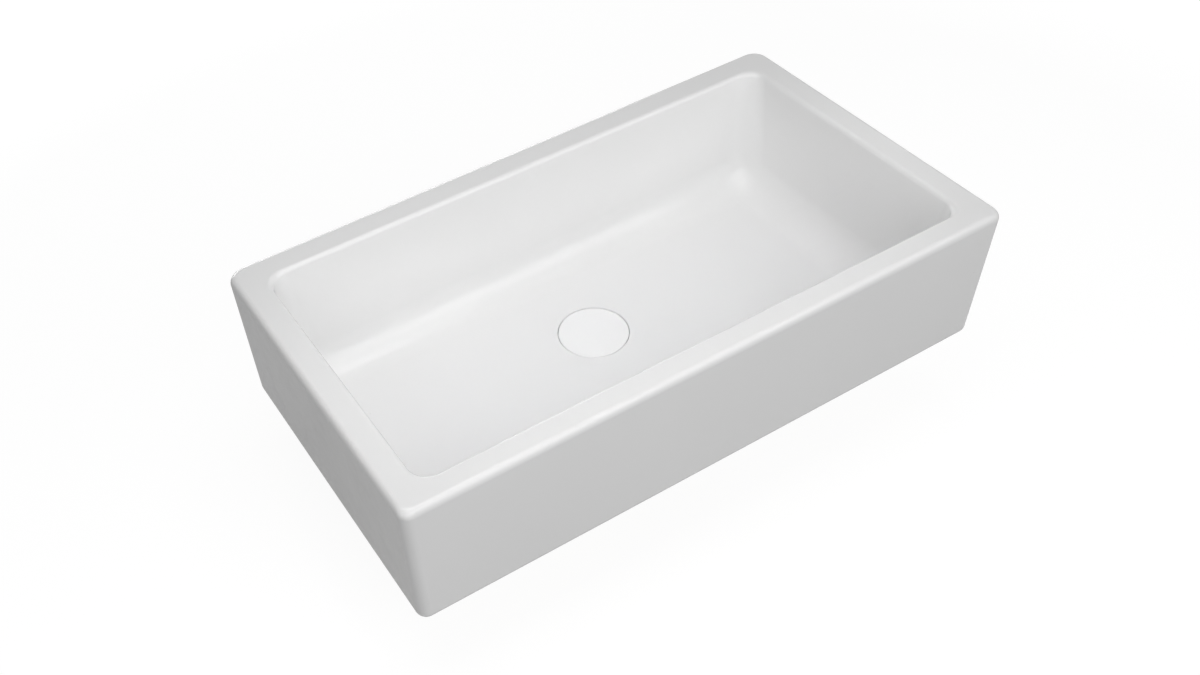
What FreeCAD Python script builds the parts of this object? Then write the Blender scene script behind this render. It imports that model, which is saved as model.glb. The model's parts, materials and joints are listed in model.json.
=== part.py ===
import FreeCAD, Part
import os
import re

import Sketcher

# Farmhouse apron front sink: a glazed fireclay bowl with the basket waste that closes its drain opening.
# Millimetres. X runs along the sink, the apron looks towards -Y, +Z is up.
# The origin is on the drain's axis, level with the lower end of the tailpiece.

doc = FreeCAD.newDocument("farmhouse_sink")
sheet = doc.addObject("Spreadsheet::Sheet", "sizes")

SIZES = [
    # the bowl, outside
    ("bowl_length", 838, "over the two end walls"),
    ("bowl_width", 465, "from the apron's face to the back"),
    ("bowl_height", 200, "from the underside to the rim"),
    ("wall_draft", 3, "each outer face leans in by this at the underside"),
    ("front_corner", 14, "upright corners beside the apron"),
    ("back_corner", 20, "upright corners at the back"),
    ("edge_round", 11, "edges of the rim and of the underside"),
    # the bowl, inside
    ("side_rim", 39, "rim on the end walls"),
    ("front_rim", 34, "rim on the apron"),
    ("back_rim", 42, "rim on the back wall"),
    ("floor_thick", 22, "clay under the basin's floor"),
    ("basin_lean", 7, "basin walls lean in by this at the floor"),
    ("basin_corner", 25, "basin corners at the rim; at the floor they are as round as the coves"),
    ("cove_round", 45, "from the walls into the floor"),
    ("lip_round", 7, "inner edge of the rim"),
    # the drain opening
    ("drain_back", 36, "drain axis behind the middle of the bowl"),
    ("dish_margin", 4.5, "flat floor between the dish and the cove at the back"),
    ("dish_fall", 2, "fall of the dish to the drain"),
    ("ledge_width", 6.2, "ledge for the flange, round the through hole"),
    ("rebate_depth", 9.5, "from the dish to the ledge"),
    ("rebate_round", 1.5, "edge of the rebate"),
    ("drain_radius", 42, "through hole"),
    ("seat_depth", 1, "ground seat for the gasket, up into the underside"),
    ("seat_gap", 2, "ground seat outside the gasket"),
    # strainer body
    ("flange_gap", 0.8, "flange and cap to the rebate's wall"),
    ("flange_thick", 2, "flange"),
    ("cup_gap", 1, "cup to the through hole"),
    ("steel_wall", 1.5, "wall of the strainer's cup"),
    ("cup_round", 6, "foot of the strainer's cup"),
    ("flange_round", 0.8, "edge of the flange"),
    ("cup_drop", 34, "cup's foot below the bowl's underside"),
    ("hub_radius", 9, "hub in the cup's foot"),
    ("hub_bore", 4.6, "hole in the hub"),
    ("window_radius", 16, "windows round the hub reach out to here"),
    ("window_bar", 3.4, "bar between two windows"),
    ("window_count", 4, "windows"),
    ("outlet_wall", 4.4, "threaded outlet"),
    ("outlet_radius", "=tail_radius + collar_reach + ring_gap", "threaded outlet, outside"),
    ("outlet_bore", "=outlet_radius - outlet_wall", "threaded outlet, inside"),
    ("outlet_drop", 18, "length of the outlet"),
    # rings under the floor
    ("seal_thick", 1.5, "flange seal"),
    ("seal_width", 4.6, "flange seal, across the ring"),
    ("gasket_thick", 3, "under gasket"),
    ("gasket_width", 10.6, "under gasket and fibre washer, across the ring"),
    ("ring_thick", 1, "fibre washer"),
    ("ring_gap", 0.4, "rings to the cup"),
    ("nut_high", 14, "locknut"),
    ("nut_wall", 8, "locknut's ring"),
    ("thread_gap", 0.1, "between threads, drawn plain"),
    ("lug_count", 4, "lugs on the locknut"),
    ("lug_reach", 6, "lug outside the ring"),
    ("lug_width", 11, "lug"),
    # tailpiece and its nut
    ("tail_radius", 19.05, "tailpiece, outside: 1 1/2 in tube"),
    ("tail_wall", 1.4, "tailpiece wall"),
    ("tail_length", 102, "tailpiece, 4 in"),
    ("tail_collar", 2, "flange on the tailpiece"),
    ("collar_reach", 3.55, "flange on the tailpiece, outside the tube"),
    ("neck_relief", 0.3, "tailpiece under its nut, narrower than the tube"),
    ("neck_long", 8, "narrow neck below the tailpiece's flange"),
    ("tail_seal", 2, "tail washer"),
    ("coupling_wall", 5, "coupling nut's ring"),
    ("coupling_grip", 14, "coupling nut's thread on the outlet"),
    ("coupling_lip", 4, "lip under the tailpiece's flange"),
    ("rib_count", 12, "grip ribs on the coupling nut"),
    ("rib_reach", 2, "rib outside the ring"),
    ("rib_width", 5, "rib"),
    ("nut_bevel", 1.5, "edges of both nuts"),
    ("tooth_root", 2.5, "lugs and ribs start inside the ring by this"),
    # basket
    ("basket_gap", 1.6, "basket's rim to the strainer's cup"),
    ("basket_sheet", 0.8, "basket's sheet"),
    ("basket_foot", 27, "basket's foot, outer radius"),
    ("basket_top_gap", 6.5, "basket's rim below the cap"),
    ("hem_width", 2.4, "rolled rim of the basket"),
    ("hem_round", 1.1, "rolled rim of the basket"),
    ("basket_round", 5, "from the basket's foot into its wall"),
    ("slot_count", 20, "slots round the basket"),
    ("slot_width", 3.2, "slot"),
    ("slot_high", 9, "slot"),
    ("slot_rise", 9, "slots' foot above the basket's foot"),
    ("hole_radius", 1.6, "holes in the basket's foot"),
    ("hole_ring", 20, "ring of holes"),
    ("hole_count", 16, "holes in the ring"),
    ("stopper_radius", 24, "rubber stopper"),
    ("stopper_thick", 4, "rubber stopper"),
    ("plate_radius", 12, "basket washer"),
    ("plate_thick", 1.2, "basket washer"),
    ("post_radius", 3, "stem"),
    ("fit_gap", 0.05, "stem in the pieces that it holds"),
    ("post_collar", 5.5, "collar on the stem, on the basket's foot"),
    ("collar_thick", 2.5, "collar on the stem"),
    ("knob_radius", 11, "knob"),
    ("knob_high", 8, "knob"),
    ("knob_clear", 1, "knob below the cap"),
    ("knob_round", 0.6, "edges of the knob"),
    ("knob_socket", 5, "stem into the knob"),
    ("clip_gap", 0.4, "spring sleeve to the hole in the hub"),
    ("clip_radius", "=hub_bore - clip_gap", "spring sleeve on the stem's foot"),
    ("clip_taper", 0.4, "spring sleeve narrows to its ends, by up to half its wall"),
    ("clip_long", 9, "spring sleeve"),
    ("clip_neck", 0.5, "sleeve below the stopper"),
    # cap
    ("pad_thick", 1.5, "pads under the cap"),
    ("pad_radius", 2, "pads under the cap"),
    ("pad_count", 3, "pads under the cap"),
    ("cap_edge", 3.6, "cap at its edge"),
    ("cap_crown", 0.9, "cap's crown above its edge"),
    ("cap_round", 1, "cap's edge"),
]

for row, (alias, value, meaning) in enumerate(SIZES, start=1):
    sheet.set(f"A{row}", meaning)
    sheet.setAlias(f"B{row}", alias)
# the values come once every size has its name, because some follow from others
for row, (alias, value, meaning) in enumerate(SIZES, start=1):
    sheet.set(f"B{row}", str(value))
doc.recompute()

ALIASES = {alias for alias, value, meaning in SIZES}

# Levels and radii that follow from the sizes. Heights are measured from the lower end of the tailpiece.
UNDERSIDE = "(cup_drop + outlet_drop + tail_seal + tail_length)"
RIM = f"({UNDERSIDE} + bowl_height)"
FLOOR = f"({UNDERSIDE} + floor_thick)"
DISH = f"({FLOOR} - dish_fall)"
LEDGE = f"({DISH} - rebate_depth)"
FLANGE = f"({LEDGE} + seal_thick)"
FLANGE_TOP = f"({FLANGE} + flange_thick)"
CUP_FOOT = f"({UNDERSIDE} - cup_drop)"
CUP_FLOOR = f"({CUP_FOOT} + steel_wall)"
CAP = f"({FLANGE_TOP} + pad_thick)"
OUTLET_END = f"({CUP_FOOT} - outlet_drop)"
TAIL_TOP = f"({OUTLET_END} - tail_seal)"
GASKET_SEAT = f"({UNDERSIDE} + seat_depth)"
NUT_TOP = f"({GASKET_SEAT} - gasket_thick - ring_thick)"
COUPLING = f"({TAIL_TOP} - tail_collar - coupling_lip)"
BASKET_FOOT = f"({CUP_FLOOR} + stopper_thick + plate_thick)"
BASKET_RIM = f"({CAP} - basket_top_gap)"
KNOB_TOP = f"({CAP} - knob_clear)"

REBATE_RADIUS = "(drain_radius + ledge_width)"
FLANGE_RADIUS = f"({REBATE_RADIUS} - flange_gap)"
CUP_RADIUS = "(drain_radius - cup_gap)"
CUP_BORE = f"({CUP_RADIUS} - steel_wall)"
BASKET_RADIUS = f"({CUP_BORE} - basket_gap)"
GASKET_BORE = f"({CUP_RADIUS} + ring_gap)"
GASKET_RADIUS = f"({GASKET_BORE} + gasket_width)"
SEAT_RADIUS = f"({GASKET_RADIUS} + seat_gap)"
NUT_BORE = f"({CUP_RADIUS} + thread_gap)"
NUT_RADIUS = f"({NUT_BORE} + nut_wall)"
COUPLING_BORE = "(outlet_radius + thread_gap)"
COUPLING_RADIUS = f"({COUPLING_BORE} + coupling_wall)"

# The plan of the bowl, from the drain's axis.
HALF_LENGTH = "(bowl_length / 2)"
FRONT = "(bowl_width / 2 + drain_back)"
BACK = "(bowl_width / 2 - drain_back)"
DISH_RADIUS = f"({BACK} - back_rim - basin_lean - cove_round - dish_margin)"


def bound(text):
    """The same expression with each size read from the sheet."""

    def from_sheet(word):
        return f"sizes.{word[0]}" if word[0] in ALIASES else word[0]

    return re.sub(r"[a-z][a-z_]+", from_sheet, text)


def number(text):
    """The value of an expression in the sizes."""
    result = sheet.evalExpression(text)
    return float(getattr(result, "Value", result))


kept = []


def keep(name, item):
    """Names a finished sub-part and puts it on the list of those that are written."""
    item.Label = name
    kept.append(item)


def new_body(name):
    return doc.addObject("PartDesign::Body", name)


def plane(body, role):
    return next(feature for feature in body.Origin.OriginFeatures if feature.Role == role)


def new_sketch(body, name, role, offset="0"):
    """A sketch on one of the body's own planes, raised along the plane's normal by an expression."""
    sketch = body.newObject("Sketcher::SketchObject", name)
    sketch.AttachmentSupport = [(plane(body, role), "")]
    sketch.MapMode = "FlatFace"
    sketch.AttachmentOffset = FreeCAD.Placement(
        FreeCAD.Vector(0, 0, number(offset)), FreeCAD.Rotation()
    )
    if offset != "0":
        sketch.setExpression("AttachmentOffset.Base.z", bound(offset))
    return sketch


def pin_point(sketch, edge, end, across, up):
    """Fixes one end of an edge by two expressions, measured from the sketch's origin."""
    for kind, text in (("DistanceX", across), ("DistanceY", up)):
        index = sketch.addConstraint(Sketcher.Constraint(kind, -1, 1, edge, end, number(text)))
        sketch.setExpression(f"Constraints[{index}]", bound(text))


def outline(body, name, role, corners, offset="0"):
    """A closed outline of straight runs. Each corner is a pair of expressions."""
    sketch = new_sketch(body, name, role, offset)
    places = [FreeCAD.Vector(number(across), number(up), 0) for across, up in corners]
    last = len(corners) - 1
    for index, place in enumerate(places):
        follower = places[0 if index == last else index + 1]
        sketch.addGeometry(Part.LineSegment(place, follower))
    for index in range(len(corners)):
        follower = 0 if index == last else index + 1
        sketch.addConstraint(Sketcher.Constraint("Coincident", index, 2, follower, 1))
    for index, (across, up) in enumerate(corners):
        pin_point(sketch, index, 1, across, up)
    return sketch


def circle(body, name, role, across, up, radius, offset="0"):
    """A circle. Its centre and its radius are expressions."""
    sketch = new_sketch(body, name, role, offset)
    centre = FreeCAD.Vector(number(across), number(up), 0)
    sketch.addGeometry(Part.Circle(centre, FreeCAD.Vector(0, 0, 1), number(radius)))
    pin_point(sketch, 0, 3, across, up)
    index = sketch.addConstraint(Sketcher.Constraint("Radius", 0, number(radius)))
    sketch.setExpression(f"Constraints[{index}]", bound(radius))
    return sketch


def tapered_block(name, foot, top, low, high):
    """A block whose foot and top are rectangles: left, right, front and back, as expressions."""
    block = doc.addObject("Part::Wedge", name)
    # the wedge grows along its own Y, so it is stood up, and its Z then points to the front
    block.Placement = FreeCAD.Placement(FreeCAD.Vector(), FreeCAD.Rotation(FreeCAD.Vector(1, 0, 0), 90))
    left, right, front, back = foot
    far_left, far_right, far_front, far_back = top
    faces = {
        "Ymin": low,
        "Ymax": high,
        "Xmin": left,
        "Xmax": right,
        "Zmin": f"-({back})",
        "Zmax": f"-({front})",
        "X2min": far_left,
        "X2max": far_right,
        "Z2min": f"-({far_back})",
        "Z2max": f"-({far_front})",
    }
    for face, text in faces.items():
        setattr(block, face, number(text))
        block.setExpression(face, bound(text))
    return block


def rounded(name, base, radii):
    """Rounds the edges for which radii gives two values, for the edge's start and for its end."""
    doc.recompute()
    chosen = []
    for index, edge in enumerate(base.Shape.Edges, start=1):
        pair = radii(edge)
        if pair:
            chosen.append((index, *pair))
    solid = doc.addObject("Part::Fillet", name)
    solid.Base = base
    solid.Edges = chosen
    return solid


def hollowed(name, base, tool):
    """The base less the tool."""
    solid = doc.addObject("Part::Cut", name)
    solid.Base = base
    solid.Tool = tool
    return solid


def turned(body, kind, name, sketch):
    """The sketch turned once round its own upright axis."""
    feature = body.newObject(kind, name)
    feature.Profile = sketch
    feature.ReferenceAxis = (sketch, ["V_Axis"])
    feature.Angle = 360
    return feature


def soften(body, name, base, radius, chosen):
    """Rounds the edges of the base feature that the test picks."""
    doc.recompute()
    names = [
        f"Edge{index}" for index, edge in enumerate(base.Shape.Edges, start=1) if chosen(edge)
    ]
    feature = body.newObject("PartDesign::Fillet", name)
    feature.Base = (base, names)
    feature.Radius = number(radius)
    feature.setExpression("Radius", bound(radius))
    return feature


def is_level(edge, level):
    """True where the whole edge lies at one level."""
    height = number(level)
    return abs(edge.BoundBox.ZMin - height) < 0.01 and abs(edge.BoundBox.ZMax - height) < 0.01


def ring_edge(radius, level):
    """A test for the round edge of one radius at one level."""
    size = number(radius)
    height = number(level)

    def chosen(edge):
        round_edge = isinstance(edge.Curve, Part.Circle) and abs(edge.Curve.Radius - size) < 0.01
        return round_edge and abs(edge.BoundBox.ZMin - height) < 0.01

    return chosen


def cut_through(body, name, sketch):
    """Cuts the sketch through everything, both ways."""
    pocket = body.newObject("PartDesign::Pocket", name)
    pocket.Profile = sketch
    pocket.Type = "ThroughAll"
    pocket.Midplane = True
    return pocket


def around(body, name, feature, count):
    """Repeats a feature round the body's own upright axis."""
    pattern = body.newObject("PartDesign::PolarPattern", name)
    pattern.Originals = [feature]
    pattern.Axis = (plane(body, "Z_Axis"), [""])
    pattern.Angle = 360
    pattern.Occurrences = int(number(count))
    pattern.setExpression("Occurrences", bound(count))
    body.Tip = pattern
    return pattern


def ring(name, inner, outer, foot, height):
    """A plain flat ring with its foot at a level."""
    body = new_body(name)
    section = outline(
        body,
        f"{name}_section",
        "XZ_Plane",
        [(inner, "0"), (outer, "0"), (outer, height), (inner, height)],
    )
    turned(body, "PartDesign::Revolution", f"{name}_ring", section)
    seat(body, foot)


def seat(body, foot):
    """Raises a finished body, which is drawn from its own foot, and keeps it under its name."""
    body.Placement.Base = FreeCAD.Vector(0, 0, number(foot))
    body.setExpression("Placement.Base.z", bound(foot))
    keep(body.Name, body)


def make_sink_bowl():
    block = tapered_block(
        "block",
        (
            f"-{HALF_LENGTH} + wall_draft",
            f"{HALF_LENGTH} - wall_draft",
            f"-{FRONT} + wall_draft",
            f"{BACK} - wall_draft",
        ),
        (f"-{HALF_LENGTH}", HALF_LENGTH, f"-{FRONT}", BACK),
        UNDERSIDE,
        RIM,
    )

    def outer_radii(edge):
        if is_level(edge, RIM) or is_level(edge, UNDERSIDE):
            size = number("edge_round")
        else:
            size = number("front_corner" if edge.CenterOfMass.y < 0 else "back_corner")
        return size, size

    casting = rounded("casting", block, outer_radii)

    basin = tapered_block(
        "basin",
        (
            f"-{HALF_LENGTH} + side_rim + basin_lean",
            f"{HALF_LENGTH} - side_rim - basin_lean",
            f"-{FRONT} + front_rim + basin_lean",
            f"{BACK} - back_rim - basin_lean",
        ),
        (
            f"-{HALF_LENGTH} + side_rim",
            f"{HALF_LENGTH} - side_rim",
            f"-{FRONT} + front_rim",
            f"{BACK} - back_rim",
        ),
        FLOOR,
        RIM,
    )

    def basin_radii(edge):
        # the coves meet in round corners at the floor, and the corners tighten towards the rim
        cove, corner = number("cove_round"), number("basin_corner")
        if is_level(edge, RIM):
            return None
        if is_level(edge, FLOOR):
            return cove, cove
        upward = edge.valueAt(edge.FirstParameter).z < edge.valueAt(edge.LastParameter).z
        return (cove, corner) if upward else (corner, cove)

    open_bowl = hollowed("open_bowl", casting, rounded("coved_basin", basin, basin_radii))
    mouth = number(f"{HALF_LENGTH} - side_rim") + 1

    def lip_radii(edge):
        if is_level(edge, RIM) and max(abs(edge.BoundBox.XMin), abs(edge.BoundBox.XMax)) < mouth:
            return number("lip_round"), number("lip_round")
        return None

    lipped = rounded("lipped_bowl", open_bowl, lip_radii)

    # dish, rebate, through hole and the ground seat below are one turned cut
    drain = new_body("drain_tool")
    section = outline(
        drain,
        "drain_section",
        "XZ_Plane",
        [
            ("0", f"{UNDERSIDE} - 1"),
            (SEAT_RADIUS, f"{UNDERSIDE} - 1"),
            (SEAT_RADIUS, GASKET_SEAT),
            ("drain_radius", GASKET_SEAT),
            ("drain_radius", LEDGE),
            (REBATE_RADIUS, LEDGE),
            (REBATE_RADIUS, DISH),
            (DISH_RADIUS, FLOOR),
            (DISH_RADIUS, f"{FLOOR} + 1"),
            ("0", f"{FLOOR} + 1"),
        ],
    )
    turned(drain, "PartDesign::Revolution", "drain_turned", section)
    drained = hollowed("drained_bowl", lipped, drain)
    rebate_edge = ring_edge(REBATE_RADIUS, DISH)

    def drain_radii(edge):
        return (number("rebate_round"), number("rebate_round")) if rebate_edge(edge) else None

    keep("sink_bowl", rounded("sink_bowl", drained, drain_radii))


def make_strainer_body():
    body = new_body("strainer_body")
    rise = f"({FLANGE_TOP} - {OUTLET_END})"
    foot = "outlet_drop"
    section = outline(
        body,
        "strainer_section",
        "XZ_Plane",
        [
            ("outlet_bore", "0"),
            ("outlet_radius", "0"),
            ("outlet_radius", foot),
            (CUP_RADIUS, foot),
            (CUP_RADIUS, f"{rise} - flange_thick"),
            (FLANGE_RADIUS, f"{rise} - flange_thick"),
            (FLANGE_RADIUS, rise),
            (CUP_BORE, rise),
            (CUP_BORE, f"{foot} + steel_wall"),
            ("hub_bore", f"{foot} + steel_wall"),
            ("hub_bore", foot),
            ("outlet_bore", foot),
        ],
    )
    shell = turned(body, "PartDesign::Revolution", "strainer_shell", section)
    outer_foot = ring_edge(CUP_RADIUS, foot)
    cup = soften(body, "strainer_foot", shell, "cup_round", outer_foot)
    inner_foot = ring_edge(CUP_BORE, f"{foot} + steel_wall")
    cup = soften(body, "strainer_floor", cup, "cup_round - steel_wall", inner_foot)
    soften(body, "strainer_flange", cup, "flange_round", ring_edge(FLANGE_RADIUS, rise))
    # one window, between two bars of the foot
    window = outline(
        body,
        "window_plan",
        "XY_Plane",
        [
            ("window_bar / 2", "hub_radius * 0.7"),
            ("window_bar / 2", "window_radius * 0.85"),
            ("window_radius * 0.6", "window_radius * 0.6"),
            ("window_radius * 0.85", "window_bar / 2"),
            ("hub_radius * 0.7", "window_bar / 2"),
        ],
        foot,
    )
    cut = cut_through(body, "window", window)
    around(body, "windows", cut, "window_count")
    seat(body, OUTLET_END)


def make_rings_under_the_floor():
    ring("flange_seal", f"{FLANGE_RADIUS} - seal_width", FLANGE_RADIUS, LEDGE, "seal_thick")
    ring("under_gasket", GASKET_BORE, GASKET_RADIUS, f"{GASKET_SEAT} - gasket_thick", "gasket_thick")
    ring("fibre_washer", GASKET_BORE, GASKET_RADIUS, NUT_TOP, "ring_thick")


def make_nut(name, section, tooth, count, foot):
    """A turned nut with teeth round it: lugs for a wrench, or ribs for the hand."""
    body = new_body(name)
    outer, reach, width, height = tooth
    blank = outline(body, f"{name}_section", "XZ_Plane", section)
    turned(body, "PartDesign::Revolution", f"{name}_ring", blank)
    plan = outline(
        body,
        f"{name}_tooth_plan",
        "XY_Plane",
        [
            (f"{outer} - tooth_root", f"-{width} / 2"),
            (f"{outer} + {reach}", f"-{width} / 2"),
            (f"{outer} + {reach}", f"{width} / 2"),
            (f"{outer} - tooth_root", f"{width} / 2"),
        ],
        "nut_bevel",
    )
    pad = body.newObject("PartDesign::Pad", f"{name}_tooth")
    pad.Profile = plan
    pad.Length = number(f"{height} - nut_bevel")
    pad.setExpression("Length", bound(f"{height} - nut_bevel"))
    around(body, f"{name}_teeth", pad, count)
    seat(body, foot)


def make_nuts():
    make_nut(
        "locknut",
        [
            (NUT_BORE, "0"),
            (f"{NUT_RADIUS} - nut_bevel", "0"),
            (NUT_RADIUS, "nut_bevel"),
            (NUT_RADIUS, "nut_high"),
            (NUT_BORE, "nut_high"),
        ],
        (NUT_RADIUS, "lug_reach", "lug_width", "nut_high"),
        "lug_count",
        f"{NUT_TOP} - nut_high",
    )
    grip = f"({TAIL_TOP} + tail_seal + coupling_grip - {COUPLING})"
    make_nut(
        "coupling_nut",
        [
            ("tail_radius + thread_gap", "0"),
            (f"{COUPLING_RADIUS} - nut_bevel", "0"),
            (COUPLING_RADIUS, "nut_bevel"),
            (COUPLING_RADIUS, grip),
            (COUPLING_BORE, grip),
            (COUPLING_BORE, "coupling_lip"),
            ("tail_radius + thread_gap", "coupling_lip"),
        ],
        (COUPLING_RADIUS, "rib_reach", "rib_width", grip),
        "rib_count",
        COUPLING,
    )


def make_tail():
    ring("tail_washer", "outlet_bore", "outlet_radius - ring_gap", TAIL_TOP, "tail_seal")
    body = new_body("tailpiece")
    section = outline(
        body,
        "tailpiece_section",
        "XZ_Plane",
        [
            ("tail_radius - tail_wall", "0"),
            ("tail_radius", "0"),
            ("tail_radius", "tail_length - tail_collar - neck_long"),
            ("tail_radius - neck_relief", "tail_length - tail_collar - neck_long"),
            ("tail_radius - neck_relief", "tail_length - tail_collar"),
            ("tail_radius + collar_reach", "tail_length - tail_collar"),
            ("tail_radius + collar_reach", "tail_length"),
            ("tail_radius - tail_wall", "tail_length"),
        ],
    )
    turned(body, "PartDesign::Revolution", "tailpiece_tube", section)
    seat(body, "0")


def make_basket_cup():
    body = new_body("basket_cup")
    rise = f"({BASKET_RIM} - {BASKET_FOOT})"
    section = outline(
        body,
        "basket_section",
        "XZ_Plane",
        [
            ("post_radius + fit_gap", "0"),
            ("basket_foot", "0"),
            (f"{BASKET_RADIUS} - hem_width", f"{rise} - hem_width"),
            (BASKET_RADIUS, f"{rise} - hem_width"),
            (BASKET_RADIUS, rise),
            (f"{BASKET_RADIUS} - hem_width - basket_sheet", rise),
            ("basket_foot - basket_sheet", "basket_sheet"),
            ("post_radius + fit_gap", "basket_sheet"),
        ],
    )
    shell = turned(body, "PartDesign::Revolution", "basket_shell", section)
    cup = soften(body, "basket_outer_foot", shell, "basket_round", ring_edge("basket_foot", "0"))
    inner_foot = ring_edge("basket_foot - basket_sheet", "basket_sheet")
    cup = soften(body, "basket_inner_foot", cup, "basket_round - basket_sheet", inner_foot)
    hem_top = ring_edge(BASKET_RADIUS, rise)
    hem_foot = ring_edge(BASKET_RADIUS, f"{rise} - hem_width")
    soften(body, "basket_hem", cup, "hem_round", lambda edge: hem_top(edge) or hem_foot(edge))
    hole = circle(body, "hole_plan", "XY_Plane", "hole_ring", "0", "hole_radius")
    cut = cut_through(body, "hole", hole)
    around(body, "holes", cut, "hole_count")
    # one upright slot in the sloping wall, cut outwards from the axis
    slot = outline(
        body,
        "slot_plan",
        "XZ_Plane",
        [
            ("-slot_width / 2", "slot_rise"),
            ("slot_width / 2", "slot_rise"),
            ("slot_width / 2", "slot_rise + slot_high"),
            ("-slot_width / 2", "slot_rise + slot_high"),
        ],
    )
    pocket = body.newObject("PartDesign::Pocket", "slot")
    pocket.Profile = slot
    pocket.Type = "ThroughAll"
    around(body, "slots", pocket, "slot_count")
    seat(body, BASKET_FOOT)


def make_basket_fittings():
    stem = "post_radius + fit_gap"
    ring("stopper_seal", stem, "stopper_radius", CUP_FLOOR, "stopper_thick")
    ring("basket_washer", stem, "plate_radius", f"{CUP_FLOOR} + stopper_thick", "plate_thick")

    # the stem starts at the sleeve's foot and ends inside the knob
    foot = f"({CUP_FLOOR} - clip_neck - clip_long)"
    post_top = f"({KNOB_TOP} - knob_high + knob_socket - {foot})"
    shoulder = f"({BASKET_FOOT} + basket_sheet - {foot})"
    post = new_body("basket_post")
    section = outline(
        post,
        "post_section",
        "XZ_Plane",
        [
            ("0", "0"),
            ("post_radius", "0"),
            ("post_radius", shoulder),
            ("post_collar", shoulder),
            ("post_collar", f"{shoulder} + collar_thick"),
            ("post_radius", f"{shoulder} + collar_thick"),
            ("post_radius", post_top),
            ("0", post_top),
        ],
    )
    turned(post, "PartDesign::Revolution", "post_turned", section)
    seat(post, foot)

    # the sleeve is split by a saw cut, so that it springs in the hub
    clip = new_body("post_clip")
    clip_end = f"clip_radius - min(clip_taper; (clip_radius - ({stem})) / 2)"
    section = outline(
        clip,
        "clip_section",
        "XZ_Plane",
        [
            (stem, "0"),
            (clip_end, "0"),
            ("clip_radius", "clip_long / 2"),
            (clip_end, "clip_long"),
            (stem, "clip_long"),
        ],
    )
    turned(clip, "PartDesign::Revolution", "clip_turned", section)
    slit = outline(
        clip,
        "slit_plan",
        "XY_Plane",
        [
            ("0", "-clip_neck / 2"),
            ("clip_radius + 1", "-clip_neck / 2"),
            ("clip_radius + 1", "clip_neck / 2"),
            ("0", "clip_neck / 2"),
        ],
    )
    cut_through(clip, "slit", slit)
    seat(clip, foot)

    knob = new_body("basket_knob")
    section = outline(
        knob,
        "knob_section",
        "XZ_Plane",
        [
            (stem, "0"),
            ("knob_radius * 0.55", "0"),
            ("knob_radius * 0.5", "knob_high * 0.35"),
            ("knob_radius", "knob_high * 0.6"),
            ("knob_radius", "knob_high * 0.8"),
            ("knob_radius * 0.8", "knob_high"),
            ("0", "knob_high"),
            ("0", "knob_socket + fit_gap"),
            (stem, "knob_socket + fit_gap"),
        ],
    )
    blank = turned(knob, "PartDesign::Revolution", "knob_turned", section)
    upper = ring_edge("knob_radius", "knob_high * 0.8")
    lower = ring_edge("knob_radius", "knob_high * 0.6")
    top = ring_edge("knob_radius * 0.8", "knob_high")
    soften(knob, "knob_edges", blank, "knob_round", lambda edge: upper(edge) or lower(edge) or top(edge))
    seat(knob, f"{KNOB_TOP} - knob_high")


def make_cap():
    body = new_body("drain_cap")
    section = outline(
        body,
        "cap_section",
        "XZ_Plane",
        [
            ("0", "0"),
            (FLANGE_RADIUS, "0"),
            (FLANGE_RADIUS, "cap_edge"),
            (f"{FLANGE_RADIUS} * 0.5", "cap_edge + cap_crown * 0.75"),
            ("0", "cap_edge + cap_crown"),
        ],
    )
    disc = turned(body, "PartDesign::Revolution", "cap_disc", section)
    soften(body, "cap_rim", disc, "cap_round", ring_edge(FLANGE_RADIUS, "cap_edge"))
    seat(body, CAP)

    pads = new_body("cap_pads")
    middle = f"({FLANGE_RADIUS} + {CUP_BORE}) / 2"
    spot = circle(pads, "pad_plan", "XY_Plane", middle, "0", "pad_radius")
    pad = pads.newObject("PartDesign::Pad", "cap_pad")
    pad.Profile = spot
    pad.Length = number("pad_thick")
    pad.setExpression("Length", bound("pad_thick"))
    around(pads, "pad_ring", pad, "pad_count")
    seat(pads, FLANGE_TOP)


make_sink_bowl()
make_strainer_body()
make_rings_under_the_floor()
make_nuts()
make_tail()
make_basket_cup()
make_basket_fittings()
make_cap()
doc.recompute()

for item in doc.Objects:
    if "Invalid" in item.State or "Error" in item.State:
        raise RuntimeError(f"{item.Name} failed: {item.State}")

for item in kept:
    if item.Shape.isNull() or not item.Shape.isValid():
        raise RuntimeError(f"{item.Label} has no valid shape")

os.makedirs("parts", exist_ok=True)
for item in kept:
    item.Shape.exportStep(f"parts/{item.Label}.step")
    solids = len(item.Shape.Solids)
    volume = item.Shape.Volume / 1000
    box = item.Shape.BoundBox
    print(f"{item.Label}: {solids} solids, {volume:.1f} cm3, z {box.ZMin:.1f} to {box.ZMax:.1f}")
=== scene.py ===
# %% [markdown]
# # A farmhouse apron front sink
#
# The sink is one thick casting of fireclay under a white glaze. A basket waste closes its drain,
# and a loose white cap lies over the waste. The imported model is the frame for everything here. It
# is in metres, X runs along the sink, the apron looks towards -Y, and the origin is on the
# drain's axis, level with the lower end of the tailpiece. Each new piece stands where its packed
# node stands.

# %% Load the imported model
import json
import math

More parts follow.
